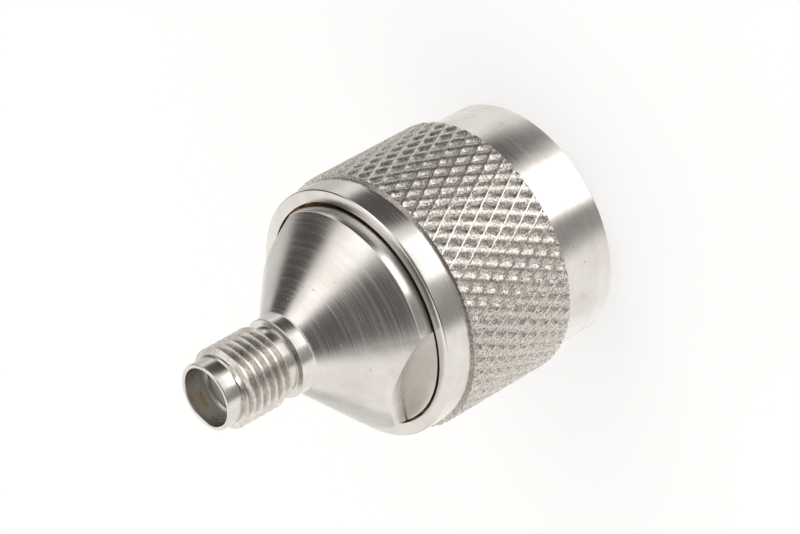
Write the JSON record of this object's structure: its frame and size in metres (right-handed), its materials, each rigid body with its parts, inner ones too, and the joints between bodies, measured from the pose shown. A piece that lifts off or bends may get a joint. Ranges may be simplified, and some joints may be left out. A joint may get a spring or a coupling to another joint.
{
  "type": "coaxial adapter",
  "caption": "Straight coaxial adapter: SMA jack, turned cone body with two wrench flats, and a type N plug with a knurled coupling nut.",
  "frame": {"origin": "centre of the coupling nut's flat mating end, on which the part stands", "axes": "+Z along the connector's axis from the N plug to the SMA jack, +X square to a wrench flat"},
  "size_m": [0.0208, 0.0208, 0.0322],
  "materials": {
    "body_steel": "finely turned stainless steel",
    "nut_steel": "satin stainless steel",
    "contact_steel": "bright passivated stainless steel",
    "bronze": "drawn phosphor bronze",
    "gold_plate": "gold plate",
    "silicone_rubber": "matt silicone rubber",
    "bead_plastic": "matt engineering plastic",
    "ptfe": "matt fluoropolymer"
  },
  "bodies": {
    "adapter": {"adapter_body": "body_steel", "outer_contact": "contact_steel", "face_gasket": "silicone_rubber", "pin_contact": "gold_plate", "pin_insulator": "bead_plastic", "bead_retainer": "contact_steel", "socket_contact": "gold_plate", "socket_insulator": "ptfe"},
    "nut": {"coupling_nut": "nut_steel", "retaining_ring": "bronze"}
  },
  "joints": [
    {"name": "nut_spin", "type": "hinge", "parent": "adapter", "child": "nut", "pos_m": [0, 0, 0.0152], "axis": [0, 0, 1], "continuous": true}
  ]
}
